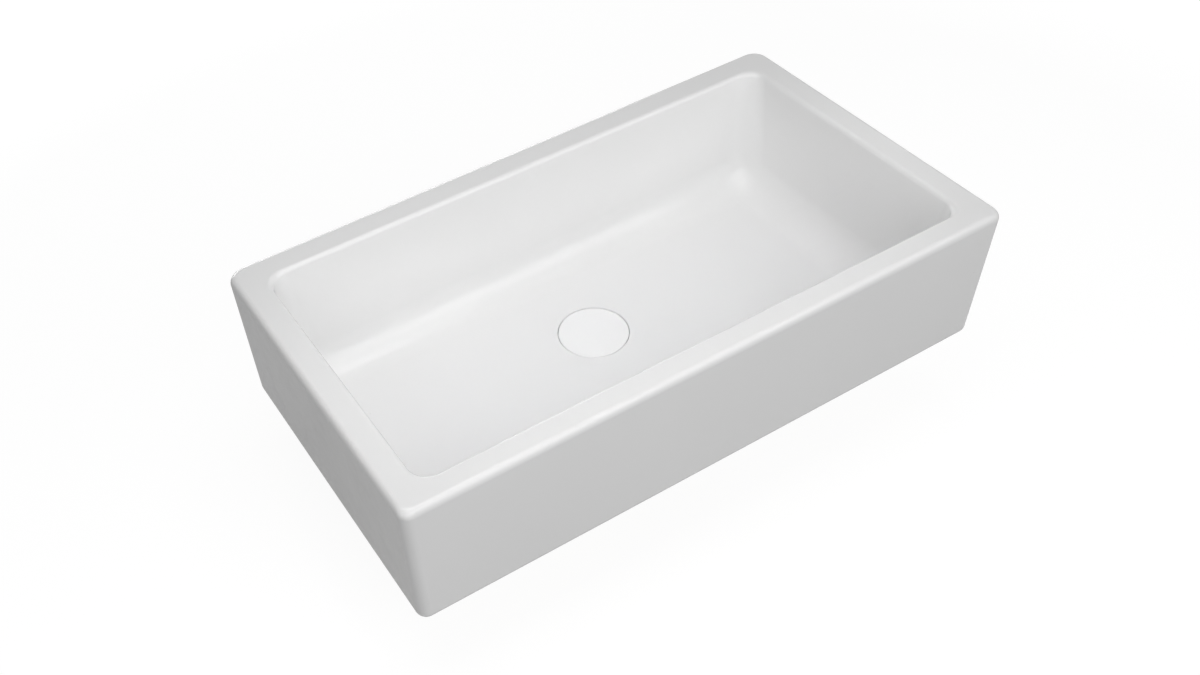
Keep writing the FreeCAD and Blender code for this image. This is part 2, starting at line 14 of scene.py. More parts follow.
import bmesh
import bpy
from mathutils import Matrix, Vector


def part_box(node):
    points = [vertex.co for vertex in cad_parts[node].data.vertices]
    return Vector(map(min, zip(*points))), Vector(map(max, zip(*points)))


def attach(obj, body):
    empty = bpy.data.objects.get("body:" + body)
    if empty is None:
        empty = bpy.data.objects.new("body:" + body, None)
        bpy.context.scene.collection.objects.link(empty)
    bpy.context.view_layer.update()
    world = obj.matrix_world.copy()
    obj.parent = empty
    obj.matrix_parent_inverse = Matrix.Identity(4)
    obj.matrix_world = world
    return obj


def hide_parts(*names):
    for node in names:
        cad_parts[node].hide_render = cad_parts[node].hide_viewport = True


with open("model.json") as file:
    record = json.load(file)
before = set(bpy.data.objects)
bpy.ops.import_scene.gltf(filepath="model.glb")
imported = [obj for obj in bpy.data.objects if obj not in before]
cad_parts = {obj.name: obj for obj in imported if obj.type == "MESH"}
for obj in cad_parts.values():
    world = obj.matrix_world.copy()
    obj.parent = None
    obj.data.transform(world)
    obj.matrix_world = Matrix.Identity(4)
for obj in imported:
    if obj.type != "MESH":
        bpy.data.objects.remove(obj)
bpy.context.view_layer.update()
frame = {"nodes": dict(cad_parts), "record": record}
nodes = frame["nodes"]


# %% [markdown]
# ## Handling a mesh by place
#
# Every operator acts on what is selected, so each step first clears the selection and then picks
# faces, edges or vertices by where they are. `pick` does that with a small test. Another way is
# to remember index numbers, but those change as soon as a bevel or a cut is added, so places are
# safer.

# %% Helpers for adding and picking
MM = 0.001
TOUCH = 0.00002


def add(kind, name, **options):
    """Adds one primitive with nothing else selected, and puts its place into its mesh."""
    bpy.ops.object.select_all(action="DESELECT")
    getattr(bpy.ops.mesh, f"primitive_{kind}_add")(**options)
    piece = bpy.context.object
    piece.name = name
    piece.data.name = name
    bpy.ops.object.transform_apply(location=True, rotation=True, scale=True)
    return piece


def pick(kind, test):
    """In edit mode, selects only the verts, edges or faces that pass the test."""
    mesh = bpy.context.object.data
    mode = {"verts": "VERT", "edges": "EDGE", "faces": "FACE"}[kind]
    bpy.ops.mesh.select_mode(type=mode)
    bpy.ops.mesh.select_all(action="DESELECT")
    shape = bmesh.from_edit_mesh(mesh)
    chosen = [item for item in getattr(shape, kind) if test(item)]
    for item in chosen:
        item.select_set(True)
    bmesh.update_edit_mesh(mesh)
    return len(chosen)


def same(one, other):
    """True where two lengths agree to within a hair."""
    return abs(one - other) < TOUCH


def work_on(piece):
    """Makes a piece the only one that is selected, and the active one."""
    bpy.ops.object.select_all(action="DESELECT")
    piece.select_set(True)
    bpy.context.view_layer.objects.active = piece


def modifier(piece, kind, **settings):
    """Adds a modifier, sets it and applies it."""
    work_on(piece)
    step = piece.modifiers.new(kind.title(), kind)
    for name, value in settings.items():
        setattr(step, name, value)
    bpy.ops.object.modifier_apply(modifier=step.name)


def smooth(piece, degrees):
    """Smooth shading, with an edge kept wherever two faces meet more sharply than this."""
    work_on(piece)
    bpy.ops.object.shade_smooth_by_angle(angle=math.radians(degrees))
    modifier(piece, "WEIGHTED_NORMAL", keep_sharp=True, weight=50)


def measured(piece):
    """Prints a piece's size in millimetres and its number of faces."""
    size = " x ".join(f"{side / MM:.1f}" for side in piece.dimensions)
    print(f"{piece.name}: {size} mm, {len(piece.data.polygons)} faces")


# %% [markdown]
# ## The bowl's sizes
#
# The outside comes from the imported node's box. The rest are the sizes that a mould maker would be
# given: how wide the rim is on each wall, how far the walls lean so that the casting leaves its
# mould, and how round each edge is.

# %% Sizes of the bowl
bowl_low, bowl_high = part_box("sink_bowl")
RIM = bowl_high.z
UNDERSIDE = bowl_low.z
FLOOR = UNDERSIDE + 22 * MM
WALL_DRAFT = 3 * MM
FRONT_CORNER = 14 * MM
BACK_CORNER = 20 * MM
EDGE_ROUND = 11 * MM
SIDE_RIM = 39 * MM
FRONT_RIM = 34 * MM
BACK_RIM = 42 * MM
BASIN_LEAN = 7 * MM
BASIN_CORNER = 25 * MM
COVE_ROUND = 45 * MM
LIP_ROUND = 7 * MM
mouth_low = Vector((bowl_low.x + SIDE_RIM, bowl_low.y + FRONT_RIM, RIM))
mouth_high = Vector((bowl_high.x - SIDE_RIM, bowl_high.y - BACK_RIM, RIM))
print(f"mouth {(mouth_high.x - mouth_low.x) / MM:.0f} x {(mouth_high.y - mouth_low.y) / MM:.0f} mm")

# %% [markdown]
# ## The bowl: basin, rim and outer walls
#
# On the real sink, liquid clay is cast in a plaster mould, so no edge is sharp and every wall
# leans a little. The shape could be carved out of a block, but it is easier to control as one
# ring of edges that travels over the whole surface. The ring starts as the mouth: a flat
# rectangle with rounded corners. One copy is drawn down to the basin's floor, and another is
# drawn outwards over the rim and then down the outer walls.

# %% The mouth, as a ring of edges with round corners
CORNER_STEPS = 12


def within(vert, low, high, margin=TOUCH):
    """True where a vertex lies in the rectangle from low to high, seen from above."""
    across = low.x - margin < vert.co.x < high.x + margin
    return across and low.y - margin < vert.co.y < high.y + margin


def on_level(edge, level):
    """True where both ends of an edge are at one level."""
    return all(same(vert.co.z, level) for vert in edge.verts)


def on_mouth(edge):
    """True on the ring of edges round the basin's mouth."""
    return on_level(edge, RIM) and all(within(vert, mouth_low, mouth_high) for vert in edge.verts)


middle = (mouth_low + mouth_high) / 2
bowl = add("plane", "fireclay_bowl", size=1, location=middle)
bpy.ops.object.mode_set(mode="EDIT")
bpy.ops.mesh.select_all(action="SELECT")
mouth_size = mouth_high - mouth_low
bpy.ops.transform.resize(value=(mouth_size.x, mouth_size.y, 1), center_override=middle)
bpy.ops.mesh.bevel(
    offset=BASIN_CORNER, segments=CORNER_STEPS, affect="VERTICES", clamp_overlap=False
)
bpy.ops.mesh.select_all(action="SELECT")
bpy.ops.mesh.delete(type="ONLY_FACE")
print("edges round the mouth:", pick("edges", on_mouth))

# %% Draw the ring down to the basin's floor
bpy.ops.mesh.extrude_region_move(TRANSFORM_OT_translate={"value": (0, 0, FLOOR - RIM)})
lean = (1 - 2 * BASIN_LEAN / mouth_size.x, 1 - 2 * BASIN_LEAN / mouth_size.y, 1)
bpy.ops.transform.resize(value=lean, center_override=(middle.x, middle.y, FLOOR))
bpy.ops.mesh.edge_face_add()
print(f"basin {(RIM - FLOOR) / MM:.0f} mm deep")

# %% [markdown]
# ## Corners that open or tighten
#
# A basin's upright corners are tight at the rim and open out at the floor, where a hand has to
# wipe them. The outer corners are tighter still. A corner's arc stays tangent to both of its
# walls when it is scaled about the point where the two walls would meet, so that is how each one
# gets its radius.


# %% Give a corner of the ring another radius
SLACK = 1.02  # an arc's own vertices lie within this much of its reach


def reshape_corners(low, high, level, reach, radii):
    """Scales the four arcs at one level. reach is each arc's in X and Y; radii: front, back."""
    reach_x, reach_y = reach

    def in_corner(vert):
        across = abs(vert.co.x - meeting.x) < reach_x * SLACK
        return same(vert.co.z, level) and across and abs(vert.co.y - meeting.y) < reach_y * SLACK

    for wall in (low.x, high.x):
        for end, radius in zip((low.y, high.y), radii):
            meeting = Vector((wall, end, level))
            pick("verts", in_corner)
            scale = (radius / reach_x, radius / reach_y, 1)
            bpy.ops.transform.resize(value=scale, center_override=meeting)


inward = Vector((BASIN_LEAN, BASIN_LEAN, 0))
floor_arc = (BASIN_CORNER * lean[0], BASIN_CORNER * lean[1])
reshape_corners(mouth_low + inward, mouth_high - inward, FLOOR, floor_arc, (COVE_ROUND, COVE_ROUND))
print(f"corners {BASIN_CORNER / MM:.0f} mm round at the rim, {COVE_ROUND / MM:.0f} mm at the floor")

# %% Draw the ring outwards over the rim, and down the outer walls
outside = bowl_high - bowl_low
centre = Vector(((bowl_low.x + bowl_high.x) / 2, (bowl_low.y + bowl_high.y) / 2, RIM))
wider = (outside.x / mouth_size.x, outside.y / mouth_size.y, 1)
pick("edges", on_mouth)
bpy.ops.mesh.extrude_region_move(TRANSFORM_OT_translate={"value": centre - middle})
bpy.ops.transform.resize(value=wider, center_override=centre)
rim_arc = (BASIN_CORNER * wider[0], BASIN_CORNER * wider[1])
reshape_corners(bowl_low, bowl_high, RIM, rim_arc, (FRONT_CORNER, BACK_CORNER))


def on_outer_ring(edge):
    """True on the outer ring of edges at the rim's level."""
    return on_level(edge, RIM) and not any(
        within(vert, mouth_low, mouth_high, FRONT_RIM / 2) for vert in edge.verts
    )


pick("edges", on_outer_ring)
bpy.ops.mesh.extrude_region_move(TRANSFORM_OT_translate={"value": (0, 0, UNDERSIDE - RIM)})
draft = (1 - 2 * WALL_DRAFT / outside.x, 1 - 2 * WALL_DRAFT / outside.y, 1)
bpy.ops.transform.resize(value=draft, center_override=(centre.x, centre.y, UNDERSIDE))
bpy.ops.mesh.edge_face_add()
print("vertices before the rounds:", len(bmesh.from_edit_mesh(bowl.data).verts))

# %% [markdown]
# ## Coves, lip and outer edges
#
# The glaze would run thin and chip on a hard edge, so the casting has generous rounds: a cove
# where walls meet floor, a soft lip round the mouth, and a rounder edge outside. Beveling each
# ring of edges once gives an even round all the way, which separate fillets would not.

# %% Round every ring of edges
COVE_STEPS = 14
EDGE_STEPS = 8
SHORT_OF_POINT = 0.05 * MM  # so that the cove doesn't close the floor's corners to a point
WELD = 0.25 * MM
EVEN = {"affect": "EDGES", "clamp_overlap": False, "profile": 0.5}
pick("edges", lambda edge: on_level(edge, FLOOR))
bpy.ops.mesh.bevel(offset=COVE_ROUND - SHORT_OF_POINT, segments=COVE_STEPS, **EVEN)
pick("edges", on_outer_ring)
bpy.ops.mesh.bevel(offset=EDGE_ROUND, segments=EDGE_STEPS, **EVEN)
pick("edges", lambda edge: on_level(edge, UNDERSIDE))
bpy.ops.mesh.bevel(offset=EDGE_ROUND, segments=EDGE_STEPS, **EVEN)
pick("edges", on_mouth)
bpy.ops.mesh.bevel(offset=LIP_ROUND, segments=EDGE_STEPS, **EVEN)
bpy.ops.mesh.select_all(action="SELECT")
bpy.ops.mesh.remove_doubles(threshold=WELD)
bpy.ops.mesh.normals_make_consistent(inside=False)
bpy.ops.object.mode_set(mode="OBJECT")
measured(bowl)

# %% [markdown]
# ## Turned pieces
#
# The drain, its cap and the whole waste are round, so each is a section spun about the drain's
# axis. A section starts as one vertex and grows point by point, as a pencil line would. A spun
# piece can come out inside out or with a seam, so its doubles are merged and its faces turned
# outwards before anything else.


# %% Draw a line, and spin a section about the drain's axis
DOUBLES = 0.005 * MM


def drawn(name, places):
    """Draws edges from place to place, from one vertex on. It stays in edit mode, all selected."""
    piece = add("plane", name, size=MM / 10, location=places[0])
    bpy.ops.object.mode_set(mode="EDIT")
    bpy.ops.mesh.select_mode(type="VERT")
    bpy.ops.mesh.select_all(action="SELECT")
    bpy.ops.mesh.merge(type="CENTER")
    for last, place in zip(places, places[1:]):
        step = [new - old for old, new in zip(last, place)]
        bpy.ops.mesh.extrude_region_move(TRANSFORM_OT_translate={"value": step})
    bpy.ops.mesh.select_all(action="SELECT")
    return piece


def spun(name, section, steps=96):
    """Spins a closed section, given as (radius, height) points."""
    piece = drawn(name, [(radius, 0, height) for radius, height in section + section[:1]])
    bpy.ops.mesh.remove_doubles(threshold=DOUBLES)
    bpy.ops.mesh.select_all(action="SELECT")
    bpy.ops.mesh.spin(steps=steps, angle=math.tau, center=(0, 0, 0), axis=(0, 0, 1))
    bpy.ops.mesh.select_all(action="SELECT")
    bpy.ops.mesh.remove_doubles(threshold=DOUBLES)
    bpy.ops.mesh.delete_loose(use_verts=True, use_edges=True, use_faces=False)
    bpy.ops.mesh.normals_make_consistent(inside=False)
    bpy.ops.object.mode_set(mode="OBJECT")
    return piece


def arc(middle, radius, start, end, count=6):
    """Points along a round stretch of a section, from one angle in degrees to another."""
    angles = [math.radians(start + (end - start) * step / count) for step in range(count + 1)]
    return [(middle[0] + radius * math.cos(a), middle[1] + radius * math.sin(a)) for a in angles]


# %% [markdown]
# ## The drain opening
#
# Round the drain the floor falls as a shallow dish, so that the last water runs out. A ledge
# inside the opening carries the waste's flange, and a flat is ground under the floor for the
# gasket. The opening is cut with one spun cutter that has the shape of all the space to be
# cleared.

# %% Cut the drain opening
DISH_FALL = 2 * MM
DISH_RADIUS = 98 * MM
REBATE_RADIUS = 48.2 * MM
REBATE_DEPTH = 9.5 * MM
REBATE_ROUND = 1.5 * MM
DRAIN_RADIUS = 42 * MM
SEAT_RADIUS = 54 * MM
SEAT_DEPTH = 1 * MM
DISH = FLOOR - DISH_FALL
LEDGE = DISH - REBATE_DEPTH
CLEAR = 5 * MM
slope = math.degrees(math.atan2(DISH_FALL, DISH_RADIUS - REBATE_RADIUS))
edge_middle = (REBATE_RADIUS + REBATE_ROUND, DISH - REBATE_ROUND)
cutter = spun(
    "drain_cutter",
    [
        (0, UNDERSIDE - CLEAR),
        (SEAT_RADIUS, UNDERSIDE - CLEAR),
        (SEAT_RADIUS, UNDERSIDE + SEAT_DEPTH),
        (DRAIN_RADIUS + MM, UNDERSIDE + SEAT_DEPTH),
        (DRAIN_RADIUS, UNDERSIDE + SEAT_DEPTH + MM),
        (DRAIN_RADIUS, LEDGE - MM),
        (DRAIN_RADIUS + MM, LEDGE),
        (REBATE_RADIUS - MM, LEDGE),
        (REBATE_RADIUS, LEDGE + MM),
        *arc(edge_middle, REBATE_ROUND, 180, 90 + slope),
        (DISH_RADIUS, FLOOR),
        (DISH_RADIUS, FLOOR + CLEAR),
        (0, FLOOR + CLEAR),
    ],
    steps=144,
)
modifier(bowl, "BOOLEAN", object=cutter, operation="DIFFERENCE", solver="EXACT")
bpy.data.objects.remove(cutter)
smooth(bowl, 35)
measured(bowl)

# %% [markdown]
# ## The drain cap
#
# The cap is a small white disc of the same ware. It lies loose over the waste and hides it, and
# water runs in through the narrow gap round its edge. Its top is slightly domed, so that it sheds
# water, and its foot is hollowed, so that only a ring touches the three pads.

# %% Spin the cap
cap_low, cap_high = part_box("drain_cap")
CAP_RADIUS = cap_high.x
CAP_EDGE = 3.6 * MM
CAP_CROWN = 0.9 * MM
CAP_ROUND = 1.0 * MM
FOOT_RING = 0.6 * MM
HOLLOW_RADIUS = CAP_RADIUS * 0.78
RING_RADIUS = CAP_RADIUS * 0.82
cap_foot = cap_low.z
shoulder = cap_foot + CAP_EDGE


def dome(share):
    """A point on the cap's top, by its share of the way from the axis to the edge."""
    return (CAP_RADIUS * share, shoulder + CAP_CROWN * (1 - share * share))


cap = spun(
    "drain_cap_disc",
    [
        (0, cap_foot + FOOT_RING),
        (HOLLOW_RADIUS, cap_foot + FOOT_RING),
        (RING_RADIUS, cap_foot),
        (CAP_RADIUS - CAP_ROUND, cap_foot),
        *arc((CAP_RADIUS - CAP_ROUND, cap_foot + CAP_ROUND), CAP_ROUND, -70, 0, 4),
        *arc((CAP_RADIUS - CAP_ROUND, shoulder - CAP_ROUND), CAP_ROUND, 0, 80, 5),
        *[dome(share) for share in (0.93, 0.8, 0.6, 0.4, 0.2)],
        (0, shoulder + CAP_CROWN),
    ],
    steps=144,
)
smooth(cap, 40)
measured(cap)

# %% [markdown]
# ## The waste's tube and nuts
#
# The tailpiece is a plastic tube with a flange at its top. Just under the flange its wall is
# relieved a little, so that the nut turns freely there. Each nut is turned as a ring first, and
# then its teeth are pulled out of the wall: small ribs for the hand on the coupling nut, four
# lugs for a wrench on the locknut. Teeth could be separate blocks, but pulling them out of the
# ring keeps one closed skin.

# %% The tailpiece
SOFT = 0.4 * MM
tail_low, tail_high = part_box("tailpiece")
TUBE = 19.05 * MM
TUBE_BORE = TUBE - 1.4 * MM
NECK = TUBE - 0.3 * MM
COLLAR = tail_high.x
collar_foot = tail_high.z - 2 * MM
neck_foot = collar_foot - 8 * MM
tube = spun(
    "waste_tube",
    [
        (TUBE_BORE, tail_low.z + SOFT),
        (TUBE_BORE + SOFT, tail_low.z),
        (TUBE - SOFT, tail_low.z),
        (TUBE, tail_low.z + SOFT),
        (TUBE, neck_foot),
        (NECK, neck_foot + SOFT),
        (NECK, collar_foot - SOFT / 2),
        (NECK + SOFT / 2, collar_foot),
        (COLLAR - SOFT, collar_foot),
        (COLLAR, collar_foot + SOFT),
        (COLLAR, tail_high.z - SOFT),
        (COLLAR - SOFT, tail_high.z),
        (TUBE_BORE + SOFT, tail_high.z),
        (TUBE_BORE, tail_high.z - SOFT),
    ],
)
smooth(tube, 40)
measured(tube)


# %% Pull teeth out of a ring
SHARP = 35


def toothed(ring, wall, reach, width, count):
    """Pulls evenly spaced teeth out of a ring's outer wall, which has the radius wall."""

    def on_tooth(face):
        place = face.calc_center_median()
        turns = math.atan2(place.y, place.x) / math.tau * count
        off_centre = abs(turns - round(turns)) / count * math.tau * wall
        upright = abs(face.normal.z) < 0.1 and place.xy.length > wall - MM
        return upright and face.normal.xy.dot(place.xy) > 0 and off_centre < width / 2

    work_on(ring)
    bpy.ops.object.mode_set(mode="EDIT")
    print("faces in the teeth:", pick("faces", on_tooth))
    bpy.ops.mesh.extrude_region_shrink_fatten(TRANSFORM_OT_shrink_fatten={"value": reach})
    bpy.ops.object.mode_set(mode="OBJECT")
    sharp = math.radians(SHARP)
    modifier(ring, "BEVEL", width=SOFT, segments=3, limit_method="ANGLE", angle_limit=sharp)
    smooth(ring, SHARP)
    measured(ring)


# %% The coupling nut
NUT_BEVEL = 1.5 * MM
coupling_low, coupling_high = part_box("coupling_nut")
COUPLING_BORE = 23.1 * MM
COUPLING_WALL = 28.1 * MM
LIP_BORE = 19.15 * MM
RIBS = 12
RIB_WIDTH = 5 * MM
lip_top = coupling_low.z + 4 * MM
coupling = spun(
    "slip_coupling",
    [
        (LIP_BORE, coupling_low.z),
        (COUPLING_WALL - NUT_BEVEL, coupling_low.z),
        (COUPLING_WALL, coupling_low.z + NUT_BEVEL),
        (COUPLING_WALL, coupling_high.z),
        (COUPLING_BORE, coupling_high.z),
        (COUPLING_BORE, lip_top),
        (LIP_BORE, lip_top),
    ],
    steps=144,
)
toothed(coupling, COUPLING_WALL, coupling_high.x - COUPLING_WALL, RIB_WIDTH, RIBS)

# %% The locknut
nut_low, nut_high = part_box("locknut")
NUT_BORE = 41.1 * MM
NUT_WALL = 49.1 * MM
LUGS = 4
LUG_WIDTH = 11 * MM
lugged = spun(
    "lugged_nut",
    [
        (NUT_BORE, nut_low.z),
        (NUT_WALL - NUT_BEVEL, nut_low.z),
        (NUT_WALL, nut_low.z + NUT_BEVEL),
        (NUT_WALL, nut_high.z),
        (NUT_BORE, nut_high.z),
    ],
    steps=168,
)
toothed(lugged, NUT_WALL, nut_high.x - NUT_WALL, LUG_WIDTH, LUGS)

# %% [markdown]
# ## The strainer body
#
# The strainer body is a pressed steel cup. Its flange lies on the ledge in the casting, a thread
# outside the cup takes the locknut, and a thread outside the outlet takes the coupling nut. A
# true thread is a helix. At this size even rings look the same and keep the piece light, so they
# stand for it here. The windows round the hub are cut last, with one cutter that is copied round
# the axis.


# %% Threads, cutters and copies round the axis
THREAD_DEPTH = 0.5 * MM
CREST_END, ROOT_START, ROOT_END = 0.2, 0.5, 0.7


def thread(radius, low, high, pitch):
    """Points of a thread's section, drawn as even rings from low to high."""
    turns = round((high - low) / pitch)
    rise = (high - low) / turns
    root = radius - THREAD_DEPTH
    points = []
    for turn in range(turns):
        start = low + turn * rise
        points += [(radius, start), (radius, start + rise * CREST_END)]
        points += [(root, start + rise * ROOT_START), (root, start + rise * ROOT_END)]
    return [*points, (radius, high)]


def prism(name, plan, start, end, along="Z"):
    """A straight-sided cutter: a plan drawn point by point, filled, and pulled out."""
    places = [Vector((*spot, start) if along == "Z" else (start, *spot)) for spot in plan]
    piece = drawn(name, places)
    bpy.ops.mesh.edge_face_add()
    pull = (0, 0, end - start) if along == "Z" else (end - start, 0, 0)
    bpy.ops.mesh.extrude_region_move(TRANSFORM_OT_translate={"value": pull})
    bpy.ops.mesh.select_all(action="SELECT")
    bpy.ops.mesh.normals_make_consistent(inside=False)
    bpy.ops.object.mode_set(mode="OBJECT")
    return piece


def all_round(piece, count):
    """Copies a piece round the drain's axis, each copy with its own mesh, and joins them."""
    bpy.ops.object.select_all(action="DESELECT")
    for turn in range(1, count):
        copy = piece.copy()
        copy.data = piece.data.copy()
        copy.rotation_euler.z = math.tau * turn / count
        bpy.context.scene.collection.objects.link(copy)
        copy.select_set(True)
    piece.select_set(True)
    bpy.context.view_layer.objects.active = piece
    bpy.ops.object.transform_apply(location=True, rotation=True, scale=True)
    bpy.ops.object.join()
    return piece


def cut_away(piece, cutter):
    """Cuts a cutter's shape out of a piece and throws the cutter away."""
    modifier(piece, "BOOLEAN", object=cutter, operation="DIFFERENCE", solver="EXACT")
    bpy.data.objects.remove(cutter)


# %% The strainer body
body_low, body_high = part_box("strainer_body")
OUTLET = 23 * MM
OUTLET_BORE = 18.6 * MM
HUB_BORE = 4.6 * MM
CUP = 41 * MM
CUP_WALL = 1.5 * MM
CUP_ROUND = 6 * MM
OUTLET_PITCH = 1.8 * MM
CUP_PITCH = 2 * MM
FLANGE = body_high.x
flange_foot = body_high.z - 2 * MM
cup_foot = body_low.z + 18 * MM
cup_turn = (CUP - CUP_ROUND, cup_foot + CUP_ROUND)
FLANGE_ROUND = 0.8 * MM
flange_edge = (FLANGE - FLANGE_ROUND, body_high.z - FLANGE_ROUND)
mouth_edge = (CUP, body_high.z - CUP_WALL)
strainer = spun(
    "waste_body",
    [
        (OUTLET_BORE, body_low.z),
        (OUTLET - SOFT, body_low.z),
        *thread(OUTLET, body_low.z + SOFT, cup_foot - 4 * MM, OUTLET_PITCH),
        (OUTLET, cup_foot - SOFT),
        (OUTLET + SOFT, cup_foot),
        *arc(cup_turn, CUP_ROUND, -90, 0, 8),
        *thread(CUP, cup_foot + 12 * MM, flange_foot - 3 * MM, CUP_PITCH),
        (CUP, flange_foot),
        (FLANGE, flange_foot),
        *arc(flange_edge, FLANGE_ROUND, 0, 90, 4),
        *arc(mouth_edge, CUP_WALL, 90, 180, 4),
        *arc(cup_turn, CUP_ROUND - CUP_WALL, 0, -90, 8),
        (HUB_BORE, cup_foot + CUP_WALL),
        (HUB_BORE, cup_foot),
        (OUTLET_BORE, cup_foot),
    ],
)
WINDOWS = 4
HALF_BAR = 1.7 * MM
WINDOW_NEAR = 6.3 * MM
WINDOW_FAR = 13.6 * MM
WINDOW_CORNER = 9.6 * MM
window_plan = [
    (HALF_BAR, WINDOW_NEAR),
    (HALF_BAR, WINDOW_FAR),
    (WINDOW_CORNER, WINDOW_CORNER),
    (WINDOW_FAR, HALF_BAR),
    (WINDOW_NEAR, HALF_BAR),
]
window = prism("window_cutter", window_plan, cup_foot - MM, cup_foot + CUP_WALL + MM)
cut_away(strainer, all_round(window, WINDOWS))
smooth(strainer, 30)
measured(strainer)

# %% [markdown]
# ## The basket
#
# The basket is drawn from thin sheet with a rolled rim, then pierced: upright slots in its wall
# and round holes in its foot. It is spun as a closed sheet with both its skins, so that every
# slot shows the sheet's thickness. A turned knob and a rubber stopper share its stem.

# %% The basket cup
basket_low, basket_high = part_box("basket_cup")
foot = basket_low.z
rim = basket_high.z
SHEET = 0.8 * MM
STEM_BORE = 3.05 * MM
BASKET = basket_high.x
HEM_ROUND = 1.1 * MM
HEM_SIZE = 2.4 * MM
HEM_INSIDE = 3.2 * MM
FOOT_TURN = 5 * MM
WALL_LEAN = -14
hem_foot = rim - HEM_SIZE
basket = spun(
    "scrap_basket",
    [
        (STEM_BORE, foot),
        *arc((23.1 * MM, foot + FOOT_TURN), FOOT_TURN, -90, WALL_LEAN),
        (BASKET - HEM_SIZE, hem_foot),
        *arc((BASKET - HEM_ROUND, hem_foot + HEM_ROUND), HEM_ROUND, -90, 0, 4),
        *arc((BASKET - HEM_ROUND, rim - HEM_ROUND), HEM_ROUND, 0, 90, 4),
        (BASKET - HEM_INSIDE, rim),
        *arc((22.9 * MM, foot + FOOT_TURN), FOOT_TURN - SHEET, WALL_LEAN, -90),
        (STEM_BORE, foot + SHEET),
    ],
)
SLOT = 1.6 * MM  # half the width of a slot, and the radius of a hole
SLOTS = 20
SLOT_START = 9 * MM
SLOT_LENGTH = 9 * MM
HOLES = 16
HOLE_RING = 20 * MM
slot_foot = foot + SLOT_START + SLOT
slot_head = slot_foot + SLOT_LENGTH - 2 * SLOT
slot_plan = [*arc((0, slot_foot), SLOT, 180, 360, 8), *arc((0, slot_head), SLOT, 0, 180, 8)]
slots = prism("slot_cutter", slot_plan, 20 * MM, 40 * MM, along="X")
cut_away(basket, all_round(slots, SLOTS))
hole_plan = arc((HOLE_RING, 0), SLOT, 0, 345, 23)
holes = prism("hole_cutter", hole_plan, foot - MM, foot + SHEET + MM)
cut_away(basket, all_round(holes, HOLES))
smooth(basket, 30)
measured(basket)

# %% The knob
knob_low, knob_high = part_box("basket_knob")
KNOB = knob_high.x
socket = knob_low.z + 5.05 * MM
neck = [(6.05, 0), (5.7, 0.9), (5.5, 1.9), (5.6, 2.8), (6.6, 3.7), (8.6, 4.4)]
brim = [(10.2, 4.8), (10.8, 5.2), (KNOB / MM, 5.7), (10.9, 6.3), (10.4, 6.9)]
crown = [(9.4, 7.5), (8.2, 7.9), (6.0, 8.0)]
profile = [(out * MM, knob_low.z + up * MM) for out, up in neck + brim + crown]
knob = spun(
    "pull_knob",
    [(STEM_BORE, knob_low.z), *profile, (0, knob_high.z), (0, socket), (STEM_BORE, socket)],
    steps=64,
)
smooth(knob, 40)
measured(knob)

# %% The stopper and the gasket, both of rubber with soft edges
def rubber_ring(name, packed, bore):
    """A rubber ring whose edge swells a little, as a squeezed one does."""
    low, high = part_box(packed)
    half = (high.z - low.z) / 2
    swell = half / 2
    bulge = arc((0, 0), half, -90, 90, 10)
    edge = [(high.x - swell + out * swell / half, low.z + half + up) for out, up in bulge]
    ring = spun(name, [(bore, low.z), *edge, (bore, high.z)])
    smooth(ring, 50)
    measured(ring)
    return ring


GASKET_BORE = 41.4 * MM
stopper = rubber_ring("rubber_stopper", "stopper_seal", STEM_BORE)
gasket = rubber_ring("rubber_gasket", "under_gasket", GASKET_BORE)

# %% [markdown]
# ## Finishes: shared effects
#
# Each finish is a shader that stays in its material, fed by a small group of nodes that works out
# how the finish varies. A group is built once and used in every material that needs the effect,
# with its own numbers. All patterns follow the mesh's own coordinates, in metres, so they stay
# put when a piece moves.


# %% Helpers for node groups and materials
def node(tree, kind, **settings):
    """Adds a node. A setting is a property, or an input's value if its name is an input's."""
    made = tree.nodes.new(kind)
    for name, value in settings.items():
        if name in made.inputs:
            made.inputs[name].default_value = value
        else:
            setattr(made, name, value)
    return made


COLOUR = "NodeSocketColor"
NUMBER = "NodeSocketFloat"
VECTOR = "NodeSocketVector"
SKIN = [("Colour", COLOUR), ("Roughness", NUMBER), ("Normal", VECTOR)]
MOST = (0.3, 0.7)  # nearly all of a noise lies between these two


def new_group(name, inputs, outputs):
    """A node group with named inputs and outputs, and its own coordinates."""
    tree = bpy.data.node_groups.new(name, "ShaderNodeTree")
    for label, kind, value in inputs:
        socket = tree.interface.new_socket(name=label, in_out="INPUT", socket_type=kind)
        socket.default_value = value
    for label, kind in outputs:
        tree.interface.new_socket(name=label, in_out="OUTPUT", socket_type=kind)
    entry = node(tree, "NodeGroupInput").outputs
    leave = node(tree, "NodeGroupOutput").inputs
    place = node(tree, "ShaderNodeTexCoord").outputs["Object"]
    return tree, entry, leave, place


def feed(tree, value, socket):
    """Gives a socket its value: a number or colour, or what another node puts out."""
    if isinstance(value, bpy.types.NodeSocket):
        tree.links.new(value, socket)
    else:
        socket.default_value = value


def maths(tree, operation, one, two):
    """One sum on two values."""
    made = node(tree, "ShaderNodeMath", operation=operation)
    feed(tree, one, made.inputs[0])
    feed(tree, two, made.inputs[1])
    return made.outputs[0]


def noise(tree, place, scale, detail=3.0):
    """Soft noise from 0 to 1 that varies over the surface."""
    made = node(tree, "ShaderNodeTexNoise", Detail=detail)
    feed(tree, place, made.inputs["Vector"])
    feed(tree, scale, made.inputs["Scale"])
    return made.outputs["Fac"]


